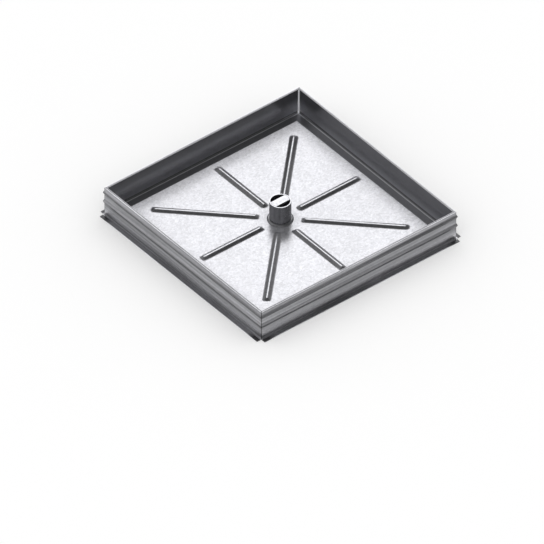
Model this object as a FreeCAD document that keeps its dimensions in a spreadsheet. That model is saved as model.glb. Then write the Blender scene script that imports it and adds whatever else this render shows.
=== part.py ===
import FreeCAD, Part
import Sketcher
import os

# Recessed paving cover of folded, galvanised sheet steel, in millimetres.
# A square tray that takes paving sits in a frame of four mitred bars.
# The origin is the centre of the frame's foot, on the ground, with +Z up.
# X and Y run along the bars, and the tray's rim is level with the frame's top.

doc = FreeCAD.newDocument("recessed_paving_cover")

# Driving sizes
sizes = doc.addObject("Spreadsheet::Sheet", "sizes")
DRIVING_SIZES = [
    ("clear_opening", 450.0, "free width between the frame's seat rails"),
    ("seat_width", 46.0, "from the clear opening to the frame's outer wall"),
    ("frame_height", 76.0, "ground to the frame's top edge"),
    ("frame_sheet", 2.0, "steel thickness of the frame bars and seat rails"),
    ("flange_width", 12.0, "foot flange outside the frame's wall"),
    ("swage_reach", 2.6, "how far a stiffening swage stands out, before its rounding"),
    ("swage_half_width", 6.0, "half the height of a swage up the wall"),
    ("swage_round", 3.0, "rounding of a swage's folds"),
    ("upper_swage_depth", 13.0, "frame's top edge to the upper swage's middle"),
    ("swage_pitch", 24.5, "upper swage's middle to the lower swage's middle"),
    ("fold_inside_radius", 1.0, "inside radius of every sharp fold"),
    ("mitre_clearance", 0.15, "each mitred end to the true mitre plane"),
    ("rail_lift", 4.4, "ground to the underside of the seat rail's channel"),
    ("tray_sheet", 2.0, "steel thickness of the tray"),
    ("tray_clearance", 1.0, "tray's rim to the frame's wall, each side"),
    ("foot_clearance", 6.6, "seat rail's channel to the underside of the tray's gutter"),
    ("wall_lean", 4.0, "how far each tray wall leans in at its foot"),
    ("gutter_depth", 8.2, "tray's floor down to its gutter"),
    ("riser_clearance", 7.4, "tray's riser to the seat rail's lip"),
    ("rib_width", 21.0, "pressed rib in the tray's floor, at its foot"),
    ("rib_corner", 6.5, "plan radius of a rib's corners, at its foot"),
    ("rib_blend_width", 3.0, "gentle slope round a rib's foot, in plan"),
    ("rib_blend_rise", 0.8, "height of the gentle slope over the floor"),
    ("rib_crest", 3.0, "flat along the top of a pressed rib"),
    ("rib_crest_corner", 1.2, "plan radius of the crest's corners"),
    ("rib_rise", 4.4, "height of a pressed rib over the floor"),
    ("side_rib_start", 47.5, "tray's middle to the inner end of a rib square to a wall"),
    ("side_rib_margin", 14.9, "outer end of such a rib to the floor's edge"),
    ("corner_rib_start", 45.0, "tray's middle to the inner end of a rib on a diagonal"),
    ("corner_rib_margin", 51.8, "outer end of such a rib to the floor's corner"),
    ("tube_diameter", 48.3, "lifting tube, outside"),
    ("tube_wall", 2.6, "lifting tube, wall thickness"),
    ("tube_drop", 2.5, "tray's rim down to the tube's mouth"),
    ("tube_edge_break", 0.4, "chamfer on the tube's mouth"),
    ("crossbar_width", 19.0, "flat bar across the tube's mouth"),
    ("crossbar_thickness", 5.0, "the same bar, top to bottom"),
    ("crossbar_fit", 0.1, "bar's ends to the tube's bore"),
    ("collar_width", 5.2, "tube to the collar's outer edge"),
    ("collar_height", 4.4, "collar over the tray's floor"),
    ("collar_fit", 0.15, "collar's hole to the tube"),
    ("collar_bevel", 3.0, "chamfer on the collar's outer top edge"),
    ("weld_leg", 2.2, "corner weld of the tray, along each wall"),
    ("weld_end_gap", 2.0, "corner weld's ends to the rim and to the gutter"),
]
for row, (alias, value, meaning) in enumerate(DRIVING_SIZES, start=1):
    sizes.set(f"A{row}", meaning)
    sizes.set(f"B{row}", str(value))
    sizes.setAlias(f"B{row}", alias)
doc.recompute()

# Places that follow from the driving sizes
places = doc.addObject("App::VarSet", "places")
PLACES = [
    ("ground", "0 mm"),
    ("opening_half", "sizes.clear_opening / 2 * 1 mm"),
    ("frame_out", "places.opening_half + sizes.seat_width * 1 mm"),
    ("frame_in", "places.frame_out - sizes.frame_sheet * 1 mm"),
    ("flange_tip", "places.frame_out + sizes.flange_width * 1 mm"),
    ("flange_top", "sizes.frame_sheet * 1 mm"),
    ("beyond_flange", "places.flange_tip + sizes.flange_width * 1 mm"),
    ("mitre_setback", "sizes.mitre_clearance * sqrt(2) * 1 mm"),
    ("mitre_far", "places.beyond_flange + places.mitre_setback"),
    ("notch_height", "(sizes.frame_sheet + sizes.fold_inside_radius) * 1 mm"),
    ("rim", "sizes.frame_height * 1 mm"),
    ("swage_out", "places.frame_out + sizes.swage_reach * 1 mm"),
    ("swage_in", "places.frame_in + sizes.swage_reach * 1 mm"),
    ("upper_middle", "places.rim - sizes.upper_swage_depth * 1 mm"),
    ("upper_top", "places.upper_middle + sizes.swage_half_width * 1 mm"),
    ("upper_foot", "places.upper_middle - sizes.swage_half_width * 1 mm"),
    ("lower_middle", "places.upper_middle - sizes.swage_pitch * 1 mm"),
    ("lower_top", "places.lower_middle + sizes.swage_half_width * 1 mm"),
    ("lower_foot", "places.lower_middle - sizes.swage_half_width * 1 mm"),
    ("rail_under", "sizes.rail_lift * 1 mm"),
    ("rail_top", "places.rail_under + sizes.frame_sheet * 1 mm"),
    ("leg_in", "places.frame_in - sizes.frame_sheet * 1 mm"),
    ("lip_out", "places.opening_half + sizes.frame_sheet * 1 mm"),
    ("tray_out", "places.frame_in - sizes.tray_clearance * 1 mm"),
    ("tray_in", "places.tray_out - sizes.tray_sheet * 1 mm"),
    ("tray_under", "places.rail_top + sizes.foot_clearance * 1 mm"),
    ("gutter_top", "places.tray_under + sizes.tray_sheet * 1 mm"),
    ("floor_top", "places.gutter_top + sizes.gutter_depth * 1 mm"),
    ("floor_under", "places.floor_top - sizes.tray_sheet * 1 mm"),
    ("foot_out", "places.tray_out - sizes.wall_lean * 1 mm"),
    ("lean_rate", "sizes.wall_lean * 1 mm / (places.rim - places.tray_under) * 1 mm"),
    ("foot_in", "places.tray_in - places.lean_rate * (places.rim - places.gutter_top) / 1 mm"),
    ("riser_in", "places.lip_out + sizes.riser_clearance * 1 mm"),
    ("riser_out", "places.riser_in + sizes.tray_sheet * 1 mm"),
    ("blend_top", "places.floor_top + sizes.rib_blend_rise * 1 mm"),
    ("blend_under", "places.floor_under + sizes.rib_blend_rise * 1 mm"),
    ("rib_top", "places.floor_top + sizes.rib_rise * 1 mm"),
    ("rib_under", "places.floor_under + sizes.rib_rise * 1 mm"),
    ("rib_half", "sizes.rib_width / 2 * 1 mm"),
    ("blend_half", "places.rib_half - sizes.rib_blend_width * 1 mm"),
    ("crest_half", "sizes.rib_crest / 2 * 1 mm"),
    ("rib_round", "sizes.rib_corner * 1 mm"),
    ("blend_round", "places.rib_round - sizes.rib_blend_width * 1 mm"),
    ("crest_round", "sizes.rib_crest_corner * 1 mm"),
    ("crest_inset", "places.rib_half - places.crest_half"),
    ("side_rib_near", "sizes.side_rib_start * 1 mm"),
    ("side_rib_far", "places.riser_out - sizes.side_rib_margin * 1 mm"),
    ("corner_rib_near", "sizes.corner_rib_start * 1 mm"),
    ("corner_rib_far", "places.riser_out * sqrt(2) - sizes.corner_rib_margin * 1 mm"),
    ("side_blend_near", "places.side_rib_near + sizes.rib_blend_width * 1 mm"),
    ("side_blend_far", "places.side_rib_far - sizes.rib_blend_width * 1 mm"),
    ("corner_blend_near", "places.corner_rib_near + sizes.rib_blend_width * 1 mm"),
    ("corner_blend_far", "places.corner_rib_far - sizes.rib_blend_width * 1 mm"),
    ("side_crest_near", "places.side_rib_near + places.crest_inset"),
    ("side_crest_far", "places.side_rib_far - places.crest_inset"),
    ("corner_crest_near", "places.corner_rib_near + places.crest_inset"),
    ("corner_crest_far", "places.corner_rib_far - places.crest_inset"),
    ("tube_out", "sizes.tube_diameter / 2 * 1 mm"),
    ("tube_in", "places.tube_out - sizes.tube_wall * 1 mm"),
    ("tube_mouth", "places.rim - sizes.tube_drop * 1 mm"),
    ("collar_in", "places.tube_out + sizes.collar_fit * 1 mm"),
    ("collar_out", "places.tube_out + sizes.collar_width * 1 mm"),
    ("collar_top", "places.floor_top + sizes.collar_height * 1 mm"),
    ("weld_low", "places.gutter_top + sizes.weld_end_gap * 1 mm"),
    ("weld_high", "places.rim - sizes.weld_end_gap * 1 mm"),
    ("weld_low_corner", "places.tray_in - places.lean_rate * (places.rim - places.weld_low) / 1 mm"),
    ("weld_high_corner", "places.tray_in - places.lean_rate * (places.rim - places.weld_high) / 1 mm"),
    ("weld_low_side", "places.weld_low_corner - sizes.weld_leg * 1 mm"),
    ("weld_high_side", "places.weld_high_corner - sizes.weld_leg * 1 mm"),
]
for name, expression in PLACES:
    places.addProperty("App::PropertyDistance", name)
    places.setExpression(name, expression)
doc.recompute()


def place_value(name):
    """Number of millimetres of a named place, with a minus sign in front if the name has one."""
    sign = -1.0 if name.startswith("-") else 1.0
    return sign * getattr(places, name.lstrip("-")).Value


def place_expression(name):
    """Expression that binds a size to a named place."""
    return "-places." + name[1:] if name.startswith("-") else "places." + name


def origin_feature(body, role):
    """One of the body's own origin planes or axes."""
    for feature in body.Origin.OriginFeatures:
        if feature.Role == role:
            return feature
    raise ValueError(role)


def new_body(label):
    body = doc.addObject("PartDesign::Body", label)
    body.Label = label
    body.AllowCompound = True
    return body


def new_sketch(body, name, plane, level=None, turn=0.0):
    """Sketch on one of the body's origin planes, lifted to a named place and turned about its normal."""
    sketch = body.newObject("Sketcher::SketchObject", name)
    sketch.AttachmentSupport = [(origin_feature(body, plane), "")]
    sketch.MapMode = "FlatFace"
    lift = place_value(level) if level else 0.0
    turning = FreeCAD.Rotation(FreeCAD.Vector(0, 0, 1), turn)
    sketch.AttachmentOffset = FreeCAD.Placement(FreeCAD.Vector(0, 0, lift), turning)
    if level:
        sketch.setExpression("AttachmentOffset.Base.z", place_expression(level))
    return sketch


def bind(sketch, constraint, expression):
    """Adds one constraint and binds its size to an expression."""
    index = sketch.addConstraint(constraint)
    sketch.setExpression(f"Constraints[{index}]", expression)


def closed_outline(sketch, corners):
    """Closed outline of straight lines whose corners lie at named places, counted from the sketch's origin."""
    points = [FreeCAD.Vector(place_value(x), place_value(y), 0) for x, y in corners]
    first = sketch.GeometryCount
    count = len(points)
    for i in range(count):
        sketch.addGeometry(Part.LineSegment(points[i], points[(i + 1) % count]), False)
    for i in range(count):
        after = first + (i + 1) % count
        sketch.addConstraint(Sketcher.Constraint("Coincident", first + i, 2, after, 1))
    for i, (x, y) in enumerate(corners):
        bind(sketch, Sketcher.Constraint("DistanceX", -1, 1, first + i, 1, points[i].x), place_expression(x))
        bind(sketch, Sketcher.Constraint("DistanceY", -1, 1, first + i, 1, points[i].y), place_expression(y))


def square(body, name, half, level):
    """Square sketch about the tray's middle, at a level."""
    sketch = new_sketch(body, name, "XY_Plane", level)
    away = "-" + half
    closed_outline(sketch, [(away, away), (half, away), (half, half), (away, half)])
    return sketch


def rounded_bar(body, name, half, radius, near, far, level, turn):
    """Long bar with rounded corners, seen from above, lengthwise on the sketch's own X axis."""
    sketch = new_sketch(body, name, "XY_Plane", level, turn)
    h = place_value(half)
    r = place_value(radius)
    a = place_value(near)
    b = place_value(far)
    up = FreeCAD.Vector(0, 0, 1)
    quarter = 1.5707963267948966
    ends = [((a + r, -h), (b - r, -h)), ((b, r - h), (b, h - r)), ((b - r, h), (a + r, h)), ((a, h - r), (a, r - h))]
    middles = [(b - r, r - h), (b - r, h - r), (a + r, h - r), (a + r, r - h)]
    for i in range(4):
        start, end = [FreeCAD.Vector(x, y, 0) for x, y in ends[i]]
        sketch.addGeometry(Part.LineSegment(start, end), False)
        circle = Part.Circle(FreeCAD.Vector(middles[i][0], middles[i][1], 0), up, r)
        sketch.addGeometry(Part.ArcOfCircle(circle, (i - 1) * quarter, i * quarter), False)
    for i in range(8):
        sketch.addConstraint(Sketcher.Constraint("Tangent", i, 2, (i + 1) % 8, 1))
    for line, direction in ((0, "Horizontal"), (2, "Vertical"), (4, "Horizontal"), (6, "Vertical")):
        sketch.addConstraint(Sketcher.Constraint(direction, line))
    for arc in (3, 5, 7):
        sketch.addConstraint(Sketcher.Constraint("Equal", 1, arc))
    bind(sketch, Sketcher.Constraint("Radius", 1, r), place_expression(radius))
    bind(sketch, Sketcher.Constraint("DistanceY", -1, 1, 0, 1, -h), place_expression("-" + half))
    bind(sketch, Sketcher.Constraint("DistanceY", -1, 1, 4, 1, h), place_expression(half))
    bind(sketch, Sketcher.Constraint("DistanceX", -1, 1, 6, 1, a), place_expression(near))
    bind(sketch, Sketcher.Constraint("DistanceX", -1, 1, 2, 1, b), place_expression(far))
    return sketch


def loft(body, kind, name, sections):
    """Straight-sided loft through sketches, added to the body or taken from it."""
    feature = body.newObject("PartDesign::" + kind, name)
    feature.Profile = sections[0]
    feature.Sections = sections[1:]
    feature.Ruled = True
    body.Tip = feature
    doc.recompute()
    return feature


def leaning_block(body, kind, name, foot_half, foot_level, head_half, head_level):
    """Square block about the middle whose four flat sides lean evenly from its foot to its head."""
    block = body.newObject("PartDesign::" + kind, name)
    block.AttachmentSupport = [(origin_feature(body, "XZ_Plane"), "")]
    block.MapMode = "FlatFace"
    for prefix, half in (("", foot_half), ("2", head_half)):
        for axis in ("X", "Z"):
            block.setExpression(axis + prefix + "min", place_expression("-" + half))
            block.setExpression(axis + prefix + "max", place_expression(half))
    block.setExpression("Ymin", place_expression(foot_level))
    block.setExpression("Ymax", place_expression(head_level))
    body.Tip = block
    doc.recompute()
    return block


def four_times(body, name, original):
    """The same feature on all four sides, turned about the vertical axis."""
    pattern = body.newObject("PartDesign::PolarPattern", name)
    pattern.Originals = [original]
    pattern.Axis = (origin_feature(body, "Z_Axis"), [""])
    pattern.Angle = 360
    pattern.Occurrences = 4
    body.Tip = pattern
    doc.recompute()
    return pattern


def ease_edges(body, kind, name, size_expression, chosen):
    """Fillets or chamfers every edge of the body's last feature for which the given test holds."""
    base = body.Tip
    names = []
    for i, edge in enumerate(base.Shape.Edges, start=1):
        if chosen(edge):
            names.append(f"Edge{i}")
    if not names:
        raise ValueError("no edge found for " + name)
    feature = body.newObject("PartDesign::" + kind, name)
    feature.Base = (base, names)
    feature.setExpression("Radius" if kind == "Fillet" else "Size", size_expression)
    body.Tip = feature
    doc.recompute()
    return feature


def round_edges(body, name, radius_expression, chosen):
    return ease_edges(body, "Fillet", name, radius_expression, chosen)


def bevel_edges(body, name, size_expression, chosen):
    return ease_edges(body, "Chamfer", name, size_expression, chosen)


def near(value, name, tolerance=0.01):
    return abs(abs(value) - place_value(name)) < tolerance


def level_at(edge, z_name):
    """Whether an edge lies level at a named height."""
    box = edge.BoundBox
    return box.ZLength < 0.01 and abs(box.ZMin - place_value(z_name)) < 0.01


def long_edge_at(y_name, z_name):
    """Test for a straight edge along X that lies at two named places."""
    def test(edge):
        box = edge.BoundBox
        return box.YLength < 0.01 and near(box.YMin, y_name) and level_at(edge, z_name)
    return test


def loop_edge_at(half_name, z_name):
    """Test for one of the four edges of a level square about the middle."""
    def test(edge):
        box = edge.BoundBox
        along_x = box.YLength < 0.01 and near(box.YMin, half_name) and box.XLength > 1.0
        along_y = box.XLength < 0.01 and near(box.XMin, half_name) and box.YLength > 1.0
        return level_at(edge, z_name) and (along_x or along_y)
    return test


def any_of(tests):
    return lambda edge: any(test(edge) for test in tests)


def cut_through(body, name, sketch, both_ways=True):
    """Pocket from a sketch on the ground plane; stops the build if it removes nothing."""
    before = body.Tip.Shape.Volume
    feature = body.newObject("PartDesign::Pocket", name)
    feature.Profile = sketch
    feature.Type = 1
    feature.Midplane = both_ways
    body.Tip = feature
    doc.recompute()
    if feature.Shape.Volume > before - 1e-6:
        raise ValueError(name + " removes nothing")
    return feature


# Frame bars
# Each bar is one strip of galvanised sheet, rolled with two stiffening swages along its wall
# and folded outward at its foot. Its ends are mitred to meet the next bar at the corner,
# while the foot flange is cut off square at the wall, so each corner has a square notch.

def add_mitre(body):
    """Cuts both ends of a front bar at 45 degrees, a clearance short of the true mitre plane."""
    sketch = new_sketch(body, body.Label + "_mitre", "XY_Plane")
    closed_outline(sketch, [("ground", "-mitre_setback"), ("beyond_flange", "-mitre_far"), ("beyond_flange", "ground")])
    closed_outline(sketch, [("ground", "-mitre_setback"), ("-beyond_flange", "ground"), ("-beyond_flange", "-mitre_far")])
    return cut_through(body, body.Label + "_mitred_ends", sketch)


def section_pad(body, name, corners, half_length):
    """Bar along X, padded equally both ways from its section."""
    sketch = new_sketch(body, name, "YZ_Plane")
    closed_outline(sketch, corners)
    pad = body.newObject("PartDesign::Pad", name + "_bar")
    pad.Profile = sketch
    pad.Midplane = True
    pad.setExpression("Length", "2 * " + place_expression(half_length))
    body.Tip = pad
    doc.recompute()
    return pad


def frame_bar(label, quarter_turns):
    body = new_body(label)
    section_pad(body, label + "_section", [
        ("-flange_tip", "ground"),
        ("-frame_in", "ground"),
        ("-frame_in", "lower_foot"),
        ("-swage_in", "lower_middle"),
        ("-frame_in", "lower_top"),
        ("-frame_in", "upper_foot"),
        ("-swage_in", "upper_middle"),
        ("-frame_in", "upper_top"),
        ("-frame_in", "rim"),
        ("-frame_out", "rim"),
        ("-frame_out", "upper_top"),
        ("-swage_out", "upper_middle"),
        ("-frame_out", "upper_foot"),
        ("-frame_out", "lower_top"),
        ("-swage_out", "lower_middle"),
        ("-frame_out", "lower_foot"),
        ("-frame_out", "flange_top"),
        ("-flange_tip", "flange_top"),
    ], "flange_tip")
    swage_levels = ("lower_foot", "lower_top", "upper_foot", "upper_top")
    crests = [long_edge_at("swage_in", "lower_middle"), long_edge_at("swage_in", "upper_middle"),
              long_edge_at("swage_out", "lower_middle"), long_edge_at("swage_out", "upper_middle")]
    roots = [long_edge_at(face, level) for face in ("frame_in", "frame_out") for level in swage_levels]
    round_edges(body, label + "_swage_rounds", "sizes.swage_round * 1 mm", any_of(crests + roots))
    round_edges(body, label + "_flange_inside_fold", "sizes.fold_inside_radius * 1 mm",
                long_edge_at("frame_out", "flange_top"))
    round_edges(body, label + "_flange_outside_fold", "(sizes.fold_inside_radius + sizes.frame_sheet) * 1 mm",
                long_edge_at("frame_in", "ground"))
    add_mitre(body)
    # Square ends of the foot flange
    sketch = new_sketch(body, label + "_notches", "XY_Plane")
    closed_outline(sketch, [("-beyond_flange", "-beyond_flange"), ("-frame_out", "-beyond_flange"),
                            ("-frame_out", "-frame_out"), ("-beyond_flange", "-frame_out")])
    closed_outline(sketch, [("frame_out", "-beyond_flange"), ("beyond_flange", "-beyond_flange"),
                            ("beyond_flange", "-frame_out"), ("frame_out", "-frame_out")])
    before = body.Tip.Shape.Volume
    notch = body.newObject("PartDesign::Pocket", label + "_notch_cut")
    notch.Profile = sketch
    notch.Type = 0
    notch.Reversed = True
    notch.setExpression("Length", "places.notch_height")
    body.Tip = notch
    doc.recompute()
    if notch.Shape.Volume > before - 1e-6:
        raise ValueError("the flange's end notches remove nothing")
    body.Placement = FreeCAD.Placement(FreeCAD.Vector(0, 0, 0), FreeCAD.Rotation(FreeCAD.Vector(0, 0, 1), 90 * quarter_turns))
    return body


# Seat rails
# Each rail is a strip folded to a channel with an upright lip. Its outer leg is turned down
# and spot-welded to the frame bar. The lip carries the tray, and the channel behind it takes
# the sealing grease. The ends are mitred like the bars.

def seat_rail(label, quarter_turns):
    body = new_body(label)
    section_pad(body, label + "_section", [
        ("-frame_in", "ground"),
        ("-leg_in", "ground"),
        ("-leg_in", "rail_under"),
        ("-opening_half", "rail_under"),
        ("-opening_half", "floor_under"),
        ("-lip_out", "floor_under"),
        ("-lip_out", "rail_top"),
        ("-frame_in", "rail_top"),
    ], "flange_tip")
    inside = [long_edge_at("leg_in", "rail_under"), long_edge_at("lip_out", "rail_top")]
    outside = [long_edge_at("frame_in", "rail_top"), long_edge_at("opening_half", "rail_under")]
    round_edges(body, label + "_inside_folds", "sizes.fold_inside_radius * 1 mm", any_of(inside))
    round_edges(body, label + "_outside_folds", "(sizes.fold_inside_radius + sizes.frame_sheet) * 1 mm",
                any_of(outside))
    add_mitre(body)
    body.Placement = FreeCAD.Placement(FreeCAD.Vector(0, 0, 0), FreeCAD.Rotation(FreeCAD.Vector(0, 0, 1), 90 * quarter_turns))
    return body


parts = []
for turns, side in enumerate(("front", "right", "back", "left")):
    parts.append(frame_bar("frame_bar_" + side, turns))
    parts.append(seat_rail("seat_rail_" + side, turns))

# Tray
# One sheet, folded. The four walls lean in a little towards their foot. Inside them a gutter
# runs round the tray, and a riser lifts the floor above it, so that the floor rests on the
# frame's lips while the gutter hangs in the frame's channel. Eight ribs are pressed up in the floor.
tray = new_body("tray_pan")
leaning_block(tray, "AdditiveWedge", "tray_outside", "foot_out", "tray_under", "tray_out", "rim")
leaning_block(tray, "SubtractiveWedge", "tray_inside", "foot_in", "gutter_top", "tray_in", "rim")

raised = tray.newObject("PartDesign::Pad", "raised_floor")
raised.Profile = square(tray, "raised_floor_outline", "riser_out", "gutter_top")
raised.setExpression("Length", "places.floor_top - places.gutter_top")
tray.Tip = raised
doc.recompute()

before = tray.Tip.Shape.Volume
hollow = tray.newObject("PartDesign::Pocket", "hollow_under_floor")
hollow.Profile = square(tray, "hollow_outline", "riser_in", "tray_under")
hollow.Reversed = True
hollow.setExpression("Length", "places.floor_under - places.tray_under")
tray.Tip = hollow
doc.recompute()
if hollow.Shape.Volume > before - 1e-6:
    raise ValueError("the hollow under the tray's floor removes nothing")

round_edges(tray, "tray_inside_folds", "sizes.fold_inside_radius * 1 mm",
            any_of([loop_edge_at("foot_in", "gutter_top"), loop_edge_at("riser_out", "gutter_top"),
                    loop_edge_at("riser_in", "floor_under")]))
round_edges(tray, "tray_outside_folds", "(sizes.fold_inside_radius + sizes.tray_sheet) * 1 mm",
            any_of([loop_edge_at("foot_out", "tray_under"), loop_edge_at("riser_out", "floor_top"),
                    loop_edge_at("riser_in", "tray_under")]))


# Pressed ribs: four along the diagonals and four square to the walls, hollow underneath

def rib_sections(kind, side, turn, levels):
    """The outlines of a rib at its foot, over its gentle slope and along its crest."""
    sections = []
    for step, level in zip(("rib", "blend", "crest"), levels):
        ends = [f"{kind}_{step}_near", f"{kind}_{step}_far"]
        sections.append(rounded_bar(tray, f"{kind}_{step}_{side}", step + "_half", step + "_round", *ends, level, turn))
    return sections


for kind, turn in (("side", 0.0), ("corner", 45.0)):
    upper = loft(tray, "AdditiveLoft", kind + "_rib",
                 rib_sections(kind, "upper", turn, ("floor_top", "blend_top", "rib_top")))
    four_times(tray, kind + "_ribs", upper)
    lower = loft(tray, "SubtractiveLoft", kind + "_rib_hollow",
                 rib_sections(kind, "lower", turn, ("floor_under", "blend_under", "rib_under")))
    four_times(tray, kind + "_rib_hollows", lower)
parts.append(tray)

# Corner welds of the tray: one slim bead up the inside of each folded corner
welds = new_body("tray_corner_welds")


def bead_section(name, corner, side, level):
    sketch = new_sketch(welds, name, "XY_Plane", level)
    closed_outline(sketch, [(corner, corner), (side, corner), (corner, side)])
    return sketch


bead = loft(welds, "AdditiveLoft", "weld_bead",
            [bead_section("bead_foot", "weld_low_corner", "weld_low_side", "weld_low"),
             bead_section("bead_head", "weld_high_corner", "weld_high_side", "weld_high")])
four_times(welds, "weld_beads", bead)
parts.append(welds)


# Lifting tube with its collar and crossbar
# The tube stands on the middle of the floor with its mouth just under the rim. A lifting
# hook goes down beside the flat bar across the mouth and turns under it.

def ring(label, corners):
    """Ring turned about the vertical axis from a section in the plane of X and Z."""
    body = new_body(label)
    sketch = new_sketch(body, label + "_section", "XZ_Plane")
    closed_outline(sketch, corners)
    turned = body.newObject("PartDesign::Revolution", label + "_turned")
    turned.Profile = sketch
    turned.ReferenceAxis = (sketch, ["V_Axis"])
    turned.Angle = 360
    body.Tip = turned
    doc.recompute()
    return body


tube = ring("lifting_tube", [("tube_in", "floor_top"), ("tube_out", "floor_top"),
                             ("tube_out", "tube_mouth"), ("tube_in", "tube_mouth")])
bevel_edges(tube, "tube_mouth_edge_break", "sizes.tube_edge_break * 1 mm", lambda edge: level_at(edge, "tube_mouth"))
parts.append(tube)

collar = ring("tube_collar", [("collar_in", "floor_top"), ("collar_out", "floor_top"),
                              ("collar_out", "collar_top"), ("collar_in", "collar_top")])
bevel_edges(collar, "collar_outer_bevel", "sizes.collar_bevel * 1 mm",
            lambda edge: level_at(edge, "collar_top") and near(edge.BoundBox.XMax, "collar_out"))
parts.append(collar)

# Crossbar: flat bar whose ends are rounded to the tube's bore
bar_disc = doc.addObject("Part::Cylinder", "crossbar_disc")
bar_disc.setExpression("Radius", "places.tube_in - sizes.crossbar_fit * 1 mm")
bar_disc.setExpression("Height", "sizes.crossbar_thickness * 1 mm")
bar_disc.setExpression("Placement.Base.z", "places.tube_mouth - sizes.crossbar_thickness * 1 mm")
bar_strip = doc.addObject("Part::Box", "crossbar_strip")
bar_strip.setExpression("Length", "sizes.tube_diameter * 1 mm")
bar_strip.setExpression("Width", "sizes.crossbar_width * 1 mm")
bar_strip.setExpression("Height", "sizes.crossbar_thickness * 1 mm")
bar_strip.setExpression("Placement.Base.x", "-sizes.tube_diameter / 2 * 1 mm")
bar_strip.setExpression("Placement.Base.y", "-sizes.crossbar_width / 2 * 1 mm")
bar_strip.setExpression("Placement.Base.z", "places.tube_mouth - sizes.crossbar_thickness * 1 mm")
crossbar = doc.addObject("Part::Common", "lifting_crossbar")
crossbar.Base = bar_disc
crossbar.Tool = bar_strip
crossbar.Label = "lifting_crossbar"
parts.append(crossbar)

# Checks before the pieces are written
doc.recompute()
for item in doc.Objects:
    if "Invalid" in item.State or "Error" in item.State:
        raise ValueError(item.Name + " did not rebuild")
for piece in parts:
    if piece.Shape.isNull() or not piece.Shape.isValid():
        raise ValueError(piece.Label + " has no valid solid")
    box = piece.Shape.BoundBox
    print(piece.Label, "solids", len(piece.Shape.Solids), "volume", round(piece.Shape.Volume, 1),
          "size", round(box.XLength, 2), round(box.YLength, 2), round(box.ZLength, 2))

os.makedirs("parts", exist_ok=True)
for piece in parts:
    piece.Shape.exportStep("parts/" + piece.Label + ".step")
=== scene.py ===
import math

import bmesh
import bpy
import numpy as np
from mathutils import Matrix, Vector


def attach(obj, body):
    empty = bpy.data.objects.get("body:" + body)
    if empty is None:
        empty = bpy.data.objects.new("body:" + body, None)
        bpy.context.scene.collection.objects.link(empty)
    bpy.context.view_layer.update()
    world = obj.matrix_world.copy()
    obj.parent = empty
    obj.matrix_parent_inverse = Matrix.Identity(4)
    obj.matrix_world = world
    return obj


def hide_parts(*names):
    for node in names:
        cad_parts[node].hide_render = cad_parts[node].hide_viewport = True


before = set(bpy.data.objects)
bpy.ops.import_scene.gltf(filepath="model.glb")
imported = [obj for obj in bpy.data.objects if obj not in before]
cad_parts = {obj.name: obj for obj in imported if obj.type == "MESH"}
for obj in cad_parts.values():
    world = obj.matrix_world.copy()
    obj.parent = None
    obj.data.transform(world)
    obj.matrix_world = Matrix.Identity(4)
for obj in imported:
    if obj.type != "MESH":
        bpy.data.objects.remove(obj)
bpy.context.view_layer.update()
scene = bpy.context.scene
scene.view_settings.view_transform = "Standard"


# Floor, light and camera
# A white studio floor under the cover and even white light all round. What the metal mirrors is
# a dim room with one tall softbox behind the cover, and the floor, which dims further out.
def add_node(tree, kind, inputs=None, **settings):
    """Adds a node with its options, then gives each input, by name or number, a value or another
    node's output."""
    node = tree.nodes.new("ShaderNode" + kind)
    for name, value in settings.items():
        setattr(node, name, value)
    for name, value in (inputs or {}).items():
        if isinstance(value, bpy.types.NodeSocket):
            tree.links.new(value, node.inputs[name])
        else:
            node.inputs[name].default_value = value
    return node


def reckon(tree, operation, first, second):
    """One step of arithmetic on two numbers, each a value or another node's output."""
    return add_node(tree, "Math", {0: first, 1: second}, operation=operation).outputs[0]


def times(tree, first, second):
    """The product of two numbers, each a value or another node's output."""
    return reckon(tree, "MULTIPLY", first, second)


def stretch(tree, value, old, new, smooth=False):
    """Carries a value from the old range to the new one, and holds it at the ends."""
    inputs = {"Value": value, "From Min": old[0], "From Max": old[1], "To Min": new[0], "To Max": new[1]}
    kind = "SMOOTHSTEP" if smooth else "LINEAR"
    return add_node(tree, "MapRange", inputs, interpolation_type=kind).outputs["Result"]


def size_of(tree, value):
    """A value without its sign."""
    return add_node(tree, "Math", {0: value}, operation="ABSOLUTE").outputs[0]


def along(tree, direction, axis):
    """How far a direction points along an axis, from -1 to 1."""
    return add_node(tree, "VectorMath", {0: direction, 1: axis}, operation="DOT_PRODUCT").outputs["Value"]


def towards(azimuth, elevation):
    """Unit vector that points to an azimuth, counted from +X towards +Y, and an elevation, in degrees."""
    a = math.radians(azimuth)
    e = math.radians(elevation)
    return Vector((math.cos(a) * math.cos(e), math.sin(a) * math.cos(e), math.sin(e)))


CAMERA_AZIMUTH = -38.85
CAMERA_ELEVATION = 39.92
PICTURE_WIDTH = 1.1781
TRAY_MIDDLE = Vector((0.0, 0.0, 0.076))
# How far right of the picture's middle and above it the tray's middle lies.
ASIDE = 0.01798
ABOVE = 0.15615
CAMERA_DISTANCE = 3.0
SOFTBOX_SIDES = (0.11, 0.2)
SOFTBOX_TOP = (0.88, 0.99)
SOFTBOX_FOOT = (0.14, 0.26)
SOFTBOX_BACK = (0.0, 0.1)
SOFTBOX_LEVEL = 1.8
ROOM_HEIGHTS = (0.5, 0.85)
ROOM_LEVELS = (0.28, 0.07)
# Each glow: its azimuth and elevation, the angles from there at which it is full and at which it has
# faded out, and what it adds to the room's level.
GLOWS = ((140, 33, 15, 45, 0.12), (-129, 8, 10, 28, 0.4), (-58, 18, 22, 48, -0.15))
FLOOR_REACH = 30.0
FLOOR_TONE = 0.9
FLOOR_LIFT = 0.1
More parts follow.
